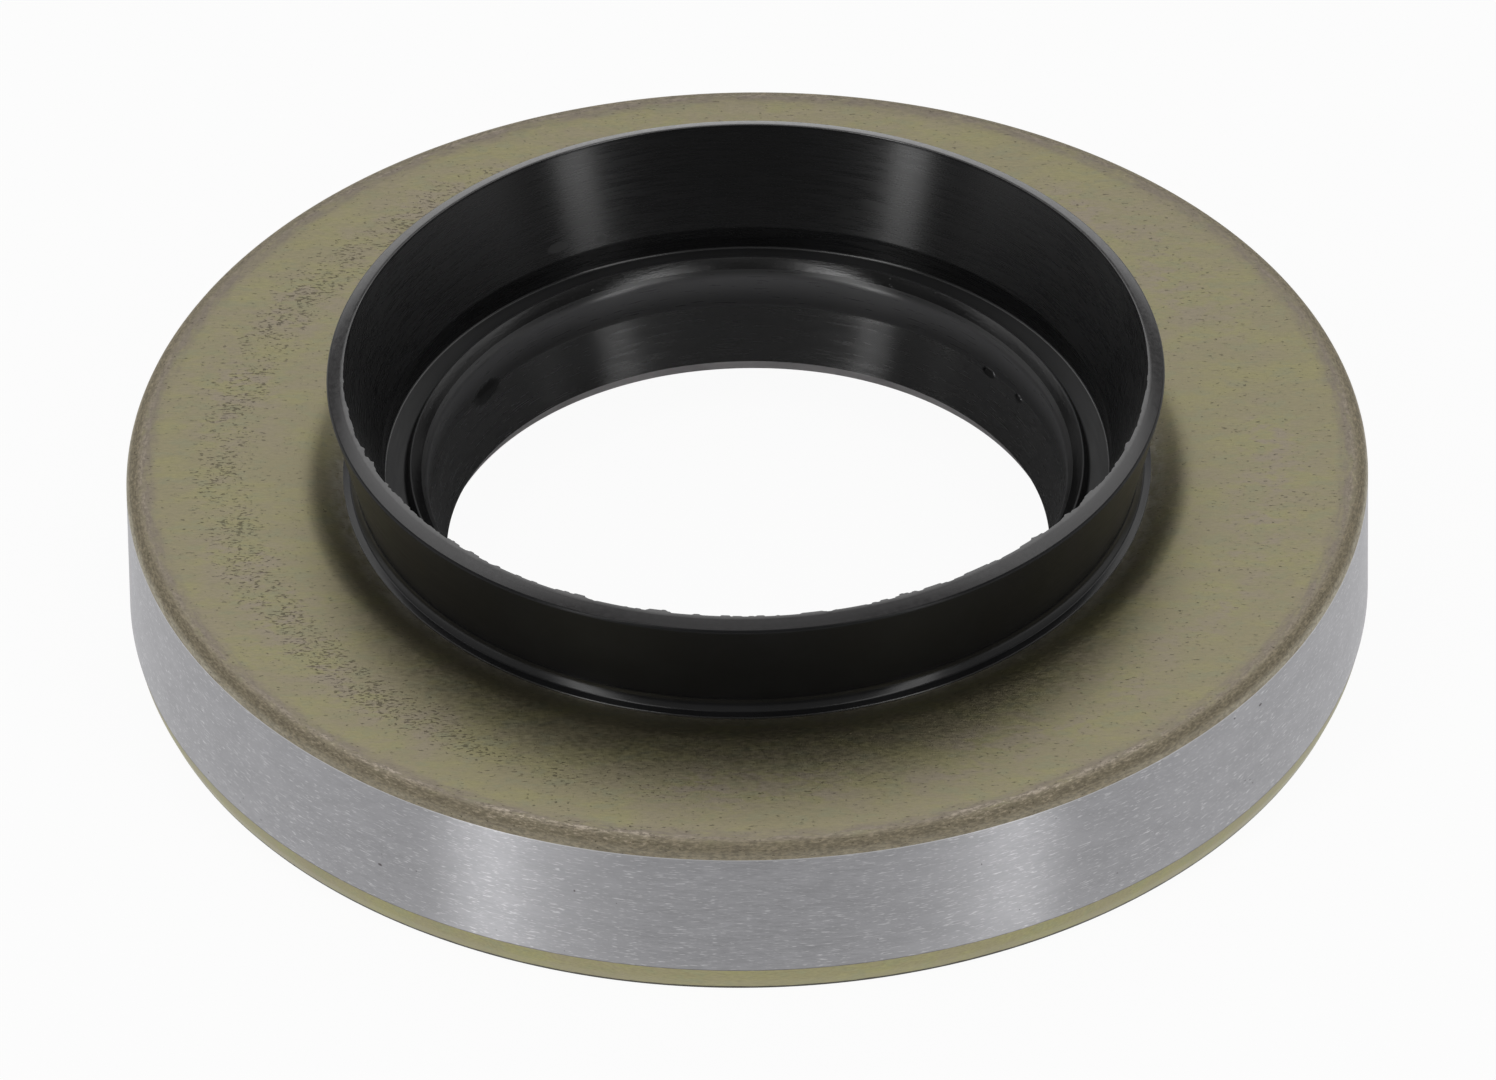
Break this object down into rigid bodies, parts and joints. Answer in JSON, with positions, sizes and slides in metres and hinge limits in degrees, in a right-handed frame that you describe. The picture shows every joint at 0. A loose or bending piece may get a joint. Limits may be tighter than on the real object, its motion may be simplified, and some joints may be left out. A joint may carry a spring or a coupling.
{
  "type": "radial shaft seal",
  "caption": "Radial shaft seal with a pressed steel case, ground outside, and a moulded rubber element with a tall flared collar, a dust lip and a spring-loaded main lip.",
  "frame": {"origin": "on the axis, in the plane of the lower edge of the case", "axes": "+Z along the axis, out of the collar, towards the air side; the oil side faces -Z"},
  "size_m": [0.074, 0.074, 0.018],
  "materials": {
    "coated_steel": "olive conversion coating on pressed steel, with the outside diameter ground bright",
    "black_rubber": "black moulded rubber, satin, with fine turned marks from the mould",
    "spring_steel": "bright drawn spring wire"
  },
  "bodies": {
    "root": {"outer_case": "coated_steel", "rubber_element": "black_rubber", "garter_spring": "spring_steel"}
  },
  "joints": []
}
